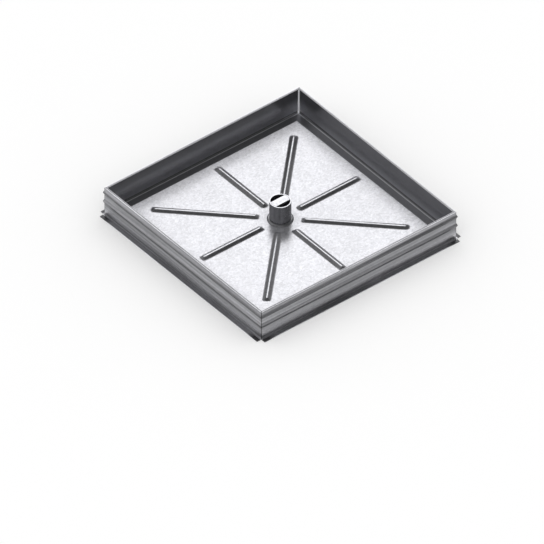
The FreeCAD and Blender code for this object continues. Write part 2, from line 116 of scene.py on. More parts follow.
# The middle of the floor that the metal mirrors in full, how far from there it dims, and how much.
DIM_MIDDLE = (-0.25, 0.15, 0.0)
DIM_REACH = (0.65, 1.5)
DIM_MOST = 0.7

a = math.radians(CAMERA_AZIMUTH)
e = math.radians(CAMERA_ELEVATION)
back = Vector((math.sin(a) * math.cos(e), -math.cos(a) * math.cos(e), math.sin(e)))
right = Vector((math.cos(a), math.sin(a), 0.0))
up = back.cross(right)
camera_data = bpy.data.cameras.new("camera")
camera_data.type = "ORTHO"
camera_data.ortho_scale = PICTURE_WIDTH
camera = bpy.data.objects.new("camera", camera_data)
scene.collection.objects.link(camera)
camera.location = TRAY_MIDDLE - right * ASIDE - up * ABOVE + back * CAMERA_DISTANCE
camera.rotation_mode = "QUATERNION"
camera.rotation_quaternion = back.to_track_quat("Z", "Y")
scene.camera = camera

world = bpy.data.worlds.new("white_studio")
scene.world = world
world.use_nodes = True
tree = world.node_tree
tree.nodes.clear()
direction = add_node(tree, "TexCoord").outputs["Generated"]
height = add_node(tree, "SeparateXYZ", {0: direction}).outputs["Z"]
sideways = size_of(tree, along(tree, direction, right))
behind = along(tree, direction, Vector((-back.x, -back.y, 0.0)))
softbox = stretch(tree, sideways, SOFTBOX_SIDES, (1.0, 0.0), smooth=True)
softbox = times(tree, softbox, stretch(tree, height, SOFTBOX_TOP, (1.0, 0.0), smooth=True))
softbox = times(tree, softbox, stretch(tree, height, SOFTBOX_FOOT, (0.0, 1.0), smooth=True))
softbox = times(tree, softbox, stretch(tree, behind, SOFTBOX_BACK, (0.0, 1.0), smooth=True))
level = stretch(tree, height, ROOM_HEIGHTS, ROOM_LEVELS, smooth=True)
level = reckon(tree, "ADD", level, times(tree, softbox, SOFTBOX_LEVEL))
for azimuth, elevation, full, gone, change in GLOWS:
    span = (math.cos(math.radians(gone)), math.cos(math.radians(full)))
    glow = along(tree, direction, towards(azimuth, elevation))
    glow = stretch(tree, glow, span, (0.0, change), smooth=True)
    level = reckon(tree, "ADD", level, glow)
glossy = add_node(tree, "LightPath").outputs["Is Glossy Ray"]
plain = add_node(tree, "Background", {"Color": (1, 1, 1, 1), "Strength": 1.0}).outputs[0]
mirrored = add_node(tree, "Background", {"Color": (1, 1, 1, 1), "Strength": level}).outputs[0]
mixed = add_node(tree, "MixShader", {0: glossy, 1: plain, 2: mirrored}).outputs[0]
add_node(tree, "OutputWorld", {"Surface": mixed})

floor_mesh = bpy.data.meshes.new("floor")
corners = [(x * FLOOR_REACH, y * FLOOR_REACH, 0.0) for x, y in ((-1, -1), (1, -1), (1, 1), (-1, 1))]
floor_mesh.from_pydata(corners, [], [(0, 1, 2, 3)])
floor = bpy.data.objects.new("floor", floor_mesh)
scene.collection.objects.link(floor)
paper = bpy.data.materials.new("white_paper_floor")
paper.use_nodes = True
tree = paper.node_tree
tree.nodes.clear()
place = add_node(tree, "TexCoord").outputs["Object"]
distance = add_node(tree, "VectorMath", {0: place, 1: DIM_MIDDLE}, operation="DISTANCE").outputs["Value"]
dimming = stretch(tree, distance, DIM_REACH, (0.0, DIM_MOST), smooth=True)
dimming = times(tree, dimming, add_node(tree, "LightPath").outputs["Is Glossy Ray"])
coat = add_node(tree, "BsdfDiffuse", {"Color": (FLOOR_TONE, FLOOR_TONE, FLOOR_TONE, 1)}).outputs[0]
lift = add_node(tree, "Emission", {"Color": (1, 1, 1, 1), "Strength": FLOOR_LIFT}).outputs[0]
coat = add_node(tree, "AddShader", {0: coat, 1: lift}).outputs[0]
dark = add_node(tree, "Emission", {"Color": (0, 0, 0, 1), "Strength": 0.0}).outputs[0]
coat = add_node(tree, "MixShader", {0: dimming, 1: coat, 2: dark}).outputs[0]
add_node(tree, "OutputMaterial", {"Surface": coat})
floor_mesh.materials.append(paper)


# Frame bars
# Four strips of hot-dip galvanised sheet 2 mm thick, rolled with two stiffening swages and folded
# outward to a flange at the foot. They are mitred to each other, and the flanges end square.
def rounded(corners, radii, steps=6):
    """Arcs at the corners of a closed outline, one row of points for each corner. A corner is cut back
    along both sides by its radius times the tangent of half its turn, and the arc about the point that
    lies square to both cuts joins them."""
    at = np.array(corners, float)
    before = np.roll(at, 1, axis=0) - at
    after = np.roll(at, -1, axis=0) - at
    before /= np.linalg.norm(before, axis=1, keepdims=True)
    after /= np.linalg.norm(after, axis=1, keepdims=True)
    turn = math.pi - np.arccos(np.clip((before * after).sum(axis=1), -1.0, 1.0))[:, None]
    radius = np.array(radii, float)[:, None]
    inward = (before + after) / np.linalg.norm(before + after, axis=1, keepdims=True)
    middle = at + inward * radius / np.cos(turn / 2)
    start = at + before * radius * np.tan(turn / 2) - middle
    end = at + after * radius * np.tan(turn / 2) - middle
    t = np.linspace(0.0, 1.0, steps + 1)[None, :, None]
    sweep = np.sin((1 - t) * turn[:, None]) * start[:, None] + np.sin(t * turn[:, None]) * end[:, None]
    return middle[:, None] + sweep / np.sin(turn[:, None])


def shell(name, rings, loop=False):
    """Closed surface through a row of closed rings of points: four-sided faces join each ring to the
    next. The first and the last ring are filled by a ladder of faces from one half of the ring to the
    other, or joined to each other in a loop."""
    rows, around, _ = rings.shape
    row = np.arange(rows if loop else rows - 1)[:, None]
    here = np.arange(around)[None, :]
    there = (here + 1) % around
    after = (row + 1) % rows
    quads = [row * around + here, row * around + there, after * around + there, after * around + here]
    quads = np.stack(quads, axis=-1).reshape(-1, 4)
    rung = np.arange(around // 2 - 1)
    ladder = np.stack([rung, rung + 1, around - 2 - rung, around - 1 - rung], axis=-1)
    ends = np.zeros((0, 4), int) if loop else np.concatenate([ladder, ladder + (rows - 1) * around])
    mesh = bpy.data.meshes.new(name)
    mesh.from_pydata(rings.reshape(-1, 3).tolist(), [], np.concatenate([quads, ends]).tolist())
    solid = bmesh.new()
    solid.from_mesh(mesh)
    bmesh.ops.recalc_face_normals(solid, faces=solid.faces)
    solid.to_mesh(mesh)
    solid.free()
    mesh.shade_smooth()
    piece = bpy.data.objects.new(name, mesh)
    scene.collection.objects.link(piece)
    return piece


SHARP_ANGLE = math.radians(40)


def fit(piece, node, material, edge):
    """Breaks the piece's sharp edges, lets its flats mirror flat, and puts it in the place of its solid."""
    broken = piece.modifiers.new("edge_break", "BEVEL")
    broken.width = edge
    broken.segments = 2
    broken.limit_method = "ANGLE"
    broken.angle_limit = SHARP_ANGLE
    broken.use_clamp_overlap = False
    piece.modifiers.new("flat_faces", "WEIGHTED_NORMAL")
    piece.data.materials.append(material)
    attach(piece, "root")
    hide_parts(node)


MOST_NOISE = (0.35, 0.65)
BLUER = (0.985, 0.99, 1.02)
# How ragged the crystals' borders are: the noise's scale and its reach, in crystals.
RAGGED_SCALE = 0.7
RAGGED_REACH = 1.5
SMALL_CRYSTALS = 2.7
SMALL_HEIGHT = 0.35
PATCH_SPAN = (0.4, 0.68)
PATCHES_PER_METRE = 16.0
SPECKS_PER_METRE = 650.0
WAVES_PER_METRE = 11.0
SPECK_HEIGHT = 0.00001


def galvanised(name, colour, roughness, crystal, mottle, grain, streaks=(1.0, 1.0, 1.0), streak=0.0,
               wave=0.0, dull=0.05, metal=1.0, local=None):
    """Zinc-coated steel. Crystals of two sizes with ragged borders differ a little in tone, tint, gloss
    and height, soft dull patches lie over them, rolling streaks run along the sheet, and a fine grain
    and a slow wave bend what it mirrors. A local function changes tone, gloss and metal from place to
    place on its piece."""
    material = bpy.data.materials.new(name)
    material.use_nodes = True
    tree = material.node_tree
    tree.nodes.clear()
    place = add_node(tree, "TexCoord").outputs["Object"]
    ragged = {"Vector": place, "Scale": RAGGED_SCALE / crystal, "Detail": 3.0}
    ragged = add_node(tree, "TexNoise", ragged).outputs[1]
    ragged = add_node(tree, "VectorMath", {0: ragged, 1: (0.5, 0.5, 0.5)}, operation="SUBTRACT").outputs[0]
    ragged = {0: ragged, "Scale": RAGGED_REACH * crystal}
    ragged = add_node(tree, "VectorMath", ragged, operation="SCALE").outputs[0]
    shifted = add_node(tree, "VectorMath", {0: place, 1: ragged}, operation="ADD").outputs[0]
    large = add_node(tree, "TexVoronoi", {"Vector": shifted, "Scale": 1.0 / crystal}).outputs["Color"]
    small = {"Vector": shifted, "Scale": SMALL_CRYSTALS / crystal}
    small = add_node(tree, "TexVoronoi", small).outputs["Color"]
    large = add_node(tree, "SeparateColor", {0: large}).outputs
    small = add_node(tree, "SeparateColor", {0: small}).outputs
    patches = {"Vector": place, "Scale": PATCHES_PER_METRE, "Detail": 5.0}
    patches = add_node(tree, "TexNoise", patches).outputs[0]
    patches = stretch(tree, patches, PATCH_SPAN, (0.0, 1.0), smooth=True)
    specks = {"Vector": place, "Scale": SPECKS_PER_METRE, "Detail": 3.0}
    specks = add_node(tree, "TexNoise", specks).outputs[0]
    ruled = add_node(tree, "Mapping", {"Vector": place, "Scale": streaks}).outputs[0]
    lines = add_node(tree, "TexNoise", {"Vector": ruled, "Scale": 1.0, "Detail": 4.0}).outputs[0]
    tone = stretch(tree, large[0], (0.0, 1.0), (1.0 - mottle, 1.0 + mottle * 0.6))
    for value, old, new in ((small[0], (0.0, 1.0), (1.0 - mottle * 0.7, 1.0 + mottle * 0.4)),
                            (specks, MOST_NOISE, (1.0 - grain, 1.0 + grain * 0.6)),
                            (lines, MOST_NOISE, (1.0 - streak, 1.0 + streak * 0.7)),
                            (patches, (0.0, 1.0), (1.0, 1.0 - mottle * 0.25))):
        tone = times(tree, tone, stretch(tree, value, old, new))
    bluer = tuple(channel * shift for channel, shift in zip(colour, BLUER))
    tints = {0: small[1], 6: (*colour, 1.0), 7: (*bluer, 1.0)}
    tint = add_node(tree, "Mix", tints, data_type="RGBA").outputs[2]
    gloss = stretch(tree, large[1], (0.0, 1.0), (roughness - 0.6 * dull, roughness + 0.6 * dull))
    gloss = reckon(tree, "ADD", gloss, stretch(tree, patches, (0.0, 1.0), (-0.2 * dull, dull)))
    if local:
        tone, gloss, metal = local(tree, place, tone, gloss)
    tint = add_node(tree, "VectorMath", {0: tint, "Scale": tone}, operation="SCALE").outputs[0]
    relief = reckon(tree, "ADD", times(tree, small[2], SMALL_HEIGHT), specks)
    fine = add_node(tree, "Bump", {"Height": relief, "Strength": 1.0, "Distance": SPECK_HEIGHT}).outputs[0]
    slow = add_node(tree, "TexNoise", {"Vector": place, "Scale": WAVES_PER_METRE, "Detail": 1.0}).outputs[0]
    slow = {"Height": slow, "Strength": 1.0, "Distance": wave, "Normal": fine}
    slow = add_node(tree, "Bump", slow).outputs[0]
    coat = {"Base Color": tint, "Roughness": gloss, "Metallic": metal, "Normal": slow}
    shader = add_node(tree, "BsdfPrincipled", coat)
    add_node(tree, "OutputMaterial", {"Surface": shader.outputs[0]})
    return material


FRAME_IN = 0.269
FRAME_OUT = 0.271
FLANGE_TIP = 0.283
FRAME_TOP = 0.076
SHEET = 0.002
SWAGE_REACH = 0.0026
SWAGE_HALF = 0.006
UPPER_SWAGE = 0.063
LOWER_SWAGE = 0.0385
CUT_EDGE = 0.0003
FOLD_INSIDE = 0.001
FOLD_OUTSIDE = 0.003
SWAGE_FOLD = 0.003
MITRE_SETBACK = 0.000212
STRIP_EDGE_BREAK = 0.00005
# Each band of painted shade along a swage: its height, how dark it is, and how far it fades above and
# below.
SWAGE_PAINTED_SHADE_BANDS = ((0.0615, 0.56, 0.0065, 0.007), (0.0358, 0.52, 0.0055, 0.0115))
BAND_HALF = 0.001
# Painted light on the foot and flange of each frame bar.
PAINTED_FOOT_LIGHT_FADE = (0.012, 0.022)
PAINTED_FOOT_LIGHT = 1.4
# A painted highlight on the top edge; the tray's rim uses the same heights.
HIGHLIGHT_EDGE_LEVELS = (0.0754, 0.0757)
TOP_EDGE_HIGHLIGHT_GAIN = 1.7
SEAM_FADE = (0.0008, 0.0016)
SEAM_TONE = 0.25
FLANGE_FROM = 0.2745
FLANGE_END = (0.235, 0.255)
FLANGE_DULL = 0.75
FLANGE_ROUGHER = 0.2


def mitred_bar(name, outline, turns):
    """Bar that carries its section, in Y and Z, along X. Each point of the section runs out to as far as
    it lies from the middle line, less a clearance, which cuts both ends at 45 degrees, and the flange
    stops at the wall."""
    y, z = outline.reshape(-1, 2).T
    end = np.abs(y) - MITRE_SETBACK
    end = np.where(z < FOLD_OUTSIDE, np.minimum(end, FRAME_OUT), end)
    x = np.array([-1.0, 1.0])[:, None] * end
    flat = (x + 1j * np.broadcast_to(y, x.shape)) * 1j ** turns
    return shell(name, np.stack([flat.real, flat.imag, np.broadcast_to(z, x.shape)], axis=-1))


inner_face = []
outer_face = []
for middle in (LOWER_SWAGE, UPPER_SWAGE):
    for lift, reach_out in ((-SWAGE_HALF, 0.0), (0.0, SWAGE_REACH), (SWAGE_HALF, 0.0)):
        inner_face.append((-FRAME_IN - reach_out, middle + lift))
        outer_face.append((-FRAME_OUT - reach_out, middle + lift))
swage_folds = [SWAGE_FOLD] * len(inner_face)
bar_corners = [(-FLANGE_TIP, 0.0), (-FRAME_IN, 0.0)] + inner_face
bar_corners += [(-FRAME_IN, FRAME_TOP), (-FRAME_OUT, FRAME_TOP)] + outer_face[::-1]
bar_corners += [(-FRAME_OUT, SHEET), (-FLANGE_TIP, SHEET)]
bar_folds = [CUT_EDGE, FOLD_OUTSIDE] + swage_folds + [CUT_EDGE, CUT_EDGE]
bar_folds += swage_folds + [FOLD_INSIDE, CUT_EDGE]
bar_section = rounded(bar_corners, bar_folds)


def darkened(tree, tone, share):
    """The tone, less a share of it."""
    return times(tree, tone, reckon(tree, "SUBTRACT", 1.0, share))


def frame_marks_and_painted_light(tree, place, tone, gloss):
    """Painted shade along the two swages, painted light at the foot and a painted highlight on the
    sawn top edge, a dark seam down each mitre, and dull ends of the flanges."""
    x, y, z = add_node(tree, "SeparateXYZ", {0: place}).outputs
    # Painted shade along each swage, standing in for the dark room that it mirrors.
    for middle, depth, above, below in SWAGE_PAINTED_SHADE_BANDS:
        over = stretch(tree, z, (middle + BAND_HALF, middle + above), (0.0, depth), smooth=True)
        under = stretch(tree, z, (middle - below, middle - BAND_HALF), (depth, 0.0), smooth=True)
        band = reckon(tree, "MAXIMUM", over, under)
        tone = times(tree, tone, reckon(tree, "ADD", band, 1.0 - depth))
    # Painted light at the foot.
    tone = times(tree, tone, stretch(tree, z, PAINTED_FOOT_LIGHT_FADE, (PAINTED_FOOT_LIGHT, 1.0), smooth=True))
    # Painted highlight on the top edge.
    tone = times(tree, tone, stretch(tree, z, HIGHLIGHT_EDGE_LEVELS, (1.0, TOP_EDGE_HIGHLIGHT_GAIN)))
    far = [size_of(tree, axis) for axis in (x, y)]
    seam = size_of(tree, reckon(tree, "SUBTRACT", far[0], far[1]))
    tone = times(tree, tone, stretch(tree, seam, SEAM_FADE, (SEAM_TONE, 1.0)))
    flange = reckon(tree, "GREATER_THAN", reckon(tree, "MAXIMUM", far[0], far[1]), FLANGE_FROM)
    dull_end = stretch(tree, reckon(tree, "MINIMUM", far[0], far[1]), FLANGE_END, (0.0, FLANGE_DULL))
    dull_end = times(tree, flange, dull_end)
    tone = darkened(tree, tone, dull_end)
    return tone, reckon(tree, "ADD", gloss, times(tree, dull_end, FLANGE_ROUGHER)), 1.0


frame_zinc = galvanised("galvanised_frame_sheet", colour=(0.40, 0.40, 0.412), roughness=0.33, crystal=0.006,
                        mottle=0.06, grain=0.05, streaks=(3, 3, 170), streak=0.3, wave=0.00003, dull=0.04,
                        local=frame_marks_and_painted_light)
for turns, side in enumerate(("front", "right", "back", "left")):
    bar = mitred_bar("swaged_bar_" + side, bar_section, turns)
    fit(bar, "frame_bar_" + side, frame_zinc, STRIP_EDGE_BREAK)


# Seat rails
# Four strips of the same sheet, folded to a channel with an upright lip that carries the tray. The
# outer leg is turned down and spot-welded to the frame bar, and grease in the channel seals the cover.
RAIL_UNDER = 0.0044
LIP_IN = 0.225
LIP_TOP = 0.0212

rail_corners = [(-FRAME_IN + SHEET, 0.0), (-FRAME_IN + SHEET, RAIL_UNDER), (-LIP_IN, RAIL_UNDER),
                (-LIP_IN, LIP_TOP), (-LIP_IN - SHEET, LIP_TOP), (-LIP_IN - SHEET, RAIL_UNDER + SHEET),
                (-FRAME_IN, RAIL_UNDER + SHEET), (-FRAME_IN, 0.0)]
rail_folds = [CUT_EDGE, FOLD_INSIDE, FOLD_OUTSIDE, CUT_EDGE] * 2
rail_section = rounded(rail_corners, rail_folds)
rail_zinc = galvanised("galvanised_rail_sheet", colour=(0.37, 0.37, 0.38), roughness=0.35, crystal=0.008,
                       mottle=0.06, grain=0.03, streaks=(7, 7, 500), streak=0.04, wave=0.00008)
for turns, side in enumerate(("front", "right", "back", "left")):
    rail = mitred_bar("folded_rail_" + side, rail_section, turns)
    fit(rail, "seat_rail_" + side, rail_zinc, STRIP_EDGE_BREAK)


# Tray
# One galvanised sheet, folded: walls that lean in to their foot, a gutter, and a riser up to the
# floor, which rests on the frame's lips. Eight ribs are pressed up in the floor, all round its middle.
FLOOR_TOP = 0.0232
RISER = 0.2364
GUTTER_TOP = 0.015
TRAY_RIM = 0.268
TRAY_FOOT = 0.264
INNER_FOOT = 0.262127
WALL_BEND = 0.005
RIB_HALF = 0.0105
RIB_RISE = 0.0044
# Where a rib starts and ends along its own line: one square to a wall, then one on a diagonal.
RIB_ENDS = ((0.0475, 0.2215), (0.045, 0.28252))
RIB_PLAN_POWER = 3.4
# How deep inside a rib's outline its foot and its crest bend, and how softly.
RIB_FOOT_BEND = (0.0017, 0.0016)
RIB_CREST_BEND = (0.0087, 0.0008)
# Columns of points beside a rib's middle line, and shares of the way from its edge to the next sector.
RIB_COLUMNS = np.array([0.0, 0.5, 0.9, 1.3, 1.8, 2.4, 3.2, 4.3, 5.5, 6.7, 7.8, 8.7, 9.6, 10.5]) / 1000
SECTOR_SHARES = np.array([0.25, 0.5, 0.75, 1.0])
NARROW_SECTOR = 0.0125
HALF_SECTOR = math.tan(math.radians(22.5))
TRAY_EDGE_BREAK = 0.0003
# Where the zinc of the tray changes and where light and shade are painted on it, from its middle outward
# and from the ground up, and how it does.
WALL_FROM = 0.2375
WALL_VARIETY = 0.3
# Painted shading up the tray's walls: lighter at the foot, darker towards the rim.
WALL_SHADING_FADE = (0.026, 0.06)
WALL_PAINTED_SHADING = (1.35, 0.42)
FLOOR_TO = 0.237
FLOOR_LOWEST = 0.0225
BLOOM_REACH = (0.19, 0.232)
# The floor's border is whitened with painted light, against the walls' shade that it mirrors.
BLOOM_PAINTED_LIGHT = 1.42
BLOOM_ROUGHER = 0.14
BLOOM_MATT = (0.15, 0.38)
LAST_BLOOM_REACH = (0.216, 0.232)
LAST_BLOOM_MATT = 0.08
RIB_FOOT_LEVEL = (0.0234, 0.024)
FLANK_FOOT = (0.0236, 0.0246)
FLANK_HEAD = (0.0266, 0.0274)
FLANK_REACH = 0.23
# Painted shade on the ribs' flanks.
FLANK_PAINTED_SHADE = 0.25
GUTTER_LEVEL = (0.0151, 0.0157)
# Painted shade in the gutter.
GUTTER_PAINTED_SHADE = 0.55
# A painted highlight line on the gutter near the wall's fold.
FOLD_HIGHLIGHT_LINE = 0.2588
FOLD_HIGHLIGHT_FADE = (0.0004, 0.0012)
FOLD_HIGHLIGHT_TOP = 0.019
FOLD_HIGHLIGHT_GAIN = 0.9
# Painted shade in the crease over the wall's fold above the gutter.
CREASE_FOOT = (0.0157, 0.0164)
CREASE_HEAD = (0.0195, 0.0225)
CREASE_PAINTED_SHADE = 0.68
# Painted highlight on the tray's rim edge.
RIM_HIGHLIGHT_GAIN = 1.5
HEATED_REACH = (0.034, 0.06)
HEATED_ROUGHER = 0.08


def pressed_rib(u, v, near, far):
    """Height of a rib over a point u along it and v across it. The depth inside its outline is the half
    width times one less a power mean of how far the point is out across it and out along its end, and
    the height follows the depth as the difference of two soft ramps, a wide one at the foot and a tight
    one at the crest."""
    across = np.clip(np.abs(v) / RIB_HALF, 0.0, 1.0)
    endwise = np.clip(1.0 - np.minimum(u - near, far - u) / RIB_HALF, 0.0, 1.0)
    power = RIB_PLAN_POWER
    depth = RIB_HALF * (1.0 - (across ** power + endwise ** power) ** (1 / power))

    def ramp(x, start, softness):
        """Nought before the start and the way past it after, with a soft turn between."""
        return (x - start + np.sqrt((x - start) ** 2 + softness ** 2)) / 2

    def flank(x):
        """How far a ramp from the foot runs ahead of a ramp from the crest."""
        return ramp(x, *RIB_FOOT_BEND) - ramp(x, *RIB_CREST_BEND)

    share = (flank(np.maximum(depth, 0.0)) - flank(0.0)) / (flank(RIB_HALF) - flank(0.0))
    return RIB_RISE * share


def tray_rings(half, z, pressed):
    """Rings of points on squares about the middle, one for each half side. A ring is eight like sectors,
    four square to the walls and four on the diagonals. Across a sector the first columns lie at fixed
    distances from the rib's middle line, squeezed where the sector is narrow, and the rest share out the
    way to the next sector. On a diagonal the square's corner stands on that line."""
    half = half[:, None, None]
    border = half * HALF_SECTOR
    squeeze = np.minimum(1.0, border / NARROW_SECTOR)
    fixed = RIB_COLUMNS[None, None, :] * squeeze
    outer = RIB_HALF * squeeze + (border - RIB_HALF * squeeze) * SECTOR_SHARES[None, None, :]
    one_side = np.concatenate([fixed, outer], axis=2)
    v = np.concatenate([-one_side[:, :, -2:0:-1], one_side], axis=2) * np.ones((1, 8, 1))
    diagonal = (np.arange(8) % 2 == 1)[None, :, None]
    u = np.where(diagonal, math.sqrt(2) * half - np.abs(v), half)
    near = np.where(diagonal, RIB_ENDS[1][0], RIB_ENDS[0][0])
    far = np.where(diagonal, RIB_ENDS[1][1], RIB_ENDS[0][1])
    rise = pressed_rib(u, v, near, far) * pressed[:, None, None]
    flat = (u + 1j * v) * np.exp(0.25j * math.pi * np.arange(8))[None, :, None]
    points = np.stack([flat.real, flat.imag, z[:, None, None] + rise], axis=-1)
    return points.reshape(len(z), -1, 3)


# Half sides of the floor's rings in millimetres, close together where the ribs start and end.
over = np.concatenate([[2, 12, 22, 30], np.arange(31, 59, 0.9), np.linspace(62, 188, 7),
                       np.arange(191, 223, 1.0), [228]]) / 1000
under = over[::-2]
tray_corners = [(0.0, FLOOR_TOP), (RISER, FLOOR_TOP), (RISER, GUTTER_TOP), (INNER_FOOT, GUTTER_TOP),
                (TRAY_RIM - SHEET, FRAME_TOP), (TRAY_RIM, FRAME_TOP), (TRAY_FOOT, GUTTER_TOP - SHEET),
                (RISER - SHEET, GUTTER_TOP - SHEET), (RISER - SHEET, FLOOR_TOP - SHEET),
                (0.0, FLOOR_TOP - SHEET)]
tray_folds = [CUT_EDGE, FOLD_OUTSIDE, FOLD_INSIDE, WALL_BEND, CUT_EDGE, CUT_EDGE, WALL_BEND + SHEET,
              FOLD_OUTSIDE, FOLD_INSIDE, CUT_EDGE]
folds = rounded(tray_corners, tray_folds)[1:-1].reshape(-1, 2)
half = np.concatenate([over, folds[:, 0], under])
z = np.concatenate([np.full(len(over), FLOOR_TOP), folds[:, 1], np.full(len(under), FLOOR_TOP - SHEET)])
pressed = np.concatenate([np.ones(len(over)), np.zeros(len(folds)), np.ones(len(under))])
tray = shell("pressed_tray", tray_rings(half, z, pressed))


def tray_marks_and_painted_light(tree, place, tone, gloss):
    """A matt bloom on the floor over the last 40 mm before its fold, whitened there with painted light,
    painted shade on the flanks of the ribs, smoother walls with painted shading that is lighter at the
    foot and darker upwards, painted shade in the gutter with a painted highlight line near where the
    wall is folded up and painted shade in the crease over it, a painted highlight on the cut edge at
    the rim, and duller zinc round the tube, where the sheet got hot."""
    x, y, z = add_node(tree, "SeparateXYZ", {0: place}).outputs
    out = reckon(tree, "MAXIMUM", size_of(tree, x), size_of(tree, y))
    wall = reckon(tree, "GREATER_THAN", out, WALL_FROM)
    smoother = reckon(tree, "ADD", times(tree, tone, WALL_VARIETY), 1.0 - WALL_VARIETY)
    tone = add_node(tree, "Mix", {0: wall, 2: tone, 3: smoother}).outputs[0]
    matt_and_painted_light = stretch(tree, out, BLOOM_REACH, (0.0, 1.0), smooth=True)
    matt_and_painted_light = times(tree, matt_and_painted_light, reckon(tree, "LESS_THAN", out, FLOOR_TO))
    matt_and_painted_light = times(tree, matt_and_painted_light, reckon(tree, "GREATER_THAN", z, FLOOR_LOWEST))
    # Painted light on the floor's border.
    tone = times(tree, tone, stretch(tree, matt_and_painted_light, (0.0, 1.0), (1.0, BLOOM_PAINTED_LIGHT)))
    flat = times(tree, stretch(tree, z, RIB_FOOT_LEVEL, (1.0, 0.0)), reckon(tree, "SUBTRACT", 1.0, wall))
    last = stretch(tree, out, LAST_BLOOM_REACH, (0.0, LAST_BLOOM_MATT), smooth=True)
    matt = reckon(tree, "ADD", stretch(tree, matt_and_painted_light, (0.0, 1.0), BLOOM_MATT), last)
    metal = reckon(tree, "SUBTRACT", 1.0, times(tree, flat, matt))
    # Painted shading on the walls, darker upwards.
    painted_wall_shading = stretch(tree, z, WALL_SHADING_FADE, WALL_PAINTED_SHADING, smooth=True)
    tone = add_node(tree, "Mix", {0: wall, 2: tone, 3: times(tree, tone, painted_wall_shading)}).outputs[0]
    # Painted shade on the flanks of the ribs.
    flank = stretch(tree, z, FLANK_FOOT, (0.0, 1.0))
    flank = times(tree, flank, stretch(tree, z, FLANK_HEAD, (FLANK_PAINTED_SHADE, 0.0)))
    tone = darkened(tree, tone, times(tree, flank, reckon(tree, "LESS_THAN", out, FLANK_REACH)))
    # Painted shade in the gutter.
    gutter = times(tree, wall, stretch(tree, z, GUTTER_LEVEL, (GUTTER_PAINTED_SHADE, 0.0)))
    tone = darkened(tree, tone, gutter)
    # Painted highlight line near the wall's fold.
    line = size_of(tree, reckon(tree, "SUBTRACT", out, FOLD_HIGHLIGHT_LINE))
    line = stretch(tree, line, FOLD_HIGHLIGHT_FADE, (FOLD_HIGHLIGHT_GAIN, 0.0), smooth=True)
    line = times(tree, line, reckon(tree, "LESS_THAN", z, FOLD_HIGHLIGHT_TOP))
    tone = times(tree, tone, reckon(tree, "ADD", 1.0, line))
    # Painted shade in the crease over the fold.
    crease = times(tree, stretch(tree, z, CREASE_HEAD, (CREASE_PAINTED_SHADE, 0.0), smooth=True), wall)
    tone = darkened(tree, tone, times(tree, crease, stretch(tree, z, CREASE_FOOT, (0.0, 1.0))))
    # Painted highlight on the rim's cut edge.
    tone = times(tree, tone, stretch(tree, z, HIGHLIGHT_EDGE_LEVELS, (1.0, RIM_HIGHLIGHT_GAIN)))
    heated = add_node(tree, "VectorMath", {0: place}, operation="LENGTH").outputs["Value"]
    heated = stretch(tree, heated, HEATED_REACH, (HEATED_ROUGHER, 0.0), smooth=True)
    rougher = reckon(tree, "ADD", heated, stretch(tree, matt_and_painted_light, (0.0, 1.0), (0.0, BLOOM_ROUGHER)))
    return tone, reckon(tree, "ADD", gloss, rougher), metal


tray_zinc = galvanised("galvanised_tray_sheet", colour=(0.60, 0.60, 0.62), roughness=0.28, crystal=0.004,
                       mottle=0.14, grain=0.07, streaks=(6, 420, 420), streak=0.02, wave=0.00001,
                       dull=0.006, local=tray_marks_and_painted_light)
fit(tray, "tray_pan", tray_zinc, TRAY_EDGE_BREAK)


# Corner welds of the tray
# A slim bead of weld metal up the inside of each folded corner, laid in overlapping ripples,
# with a thicker start at the gutter. It is touched up with pale zinc paint.
WELD_LEG = 0.0022
WELD_LOW = (0.262178, 0.0158)
WELD_HIGH = (0.265873, 0.074)
RIPPLE = 0.0021
RIPPLE_SWELL = 0.09
RIPPLE_LAG = 0.3
START_SWELL = 0.45
START_LENGTH = 0.003
CLOSING_LENGTH = 0.0016
CLOSED_SHARE = 0.05
BULGE_POWER = 1.4
# How far before the wall's foot the middle of its bend lies, in radii of the bend.
BEND_SETBACK = 0.9386
WELD_EDGE_BREAK = 0.0001


def weld_bead(name, quarter, rows=241, points=11):
    """Bead in a corner. Its section has the corner itself and a bulging face, whose points are the leg
    times a power of the cosine and of the sine of an angle, along the two walls. The leg swells with
    each ripple, later in the middle of the face than at its sides, is longer at the foot, and closes in
    at both ends. The corner leans with the walls, and at the foot it follows the arc of their bend."""
    s = np.linspace(0.0, 1.0, rows)[:, None]
    angle = np.linspace(0.0, math.pi / 2, points)[None, :]
    length = WELD_HIGH[1] - WELD_LOW[1]
    ripple = RIPPLE_SWELL * np.cos(2 * math.pi * (s * length / RIPPLE - RIPPLE_LAG * np.sin(2 * angle)))
    start = START_SWELL * np.exp(-(s * length / START_LENGTH) ** 2)
    ends = np.clip(np.minimum(s, 1.0 - s) * length / CLOSING_LENGTH, 0.0, 1.0)
    closing = np.sqrt(CLOSED_SHARE + (1.0 - CLOSED_SHARE) * ends * (2.0 - ends))
    leg = WELD_LEG * (1.0 + ripple + start) * closing
    z = WELD_LOW[1] + length * s
    corner = WELD_LOW[0] + (WELD_HIGH[0] - WELD_LOW[0]) * s
    under_bend = np.maximum(GUTTER_TOP + WALL_BEND - z, 0.0)
    bent = INNER_FOOT - WALL_BEND * BEND_SETBACK + np.sqrt(WALL_BEND ** 2 - under_bend ** 2)
    corner = np.where(under_bend > 0.0, np.minimum(corner, bent), corner)
    one = corner - leg * np.abs(np.cos(angle)) ** BULGE_POWER
    other = corner - leg * np.abs(np.sin(angle)) ** BULGE_POWER
    flat = np.concatenate([one + 1j * other, corner + 1j * corner], axis=1) * 1j ** quarter
    z = np.broadcast_to(z, flat.shape)
    return shell(name, np.stack([flat.real, flat.imag, z], axis=-1))


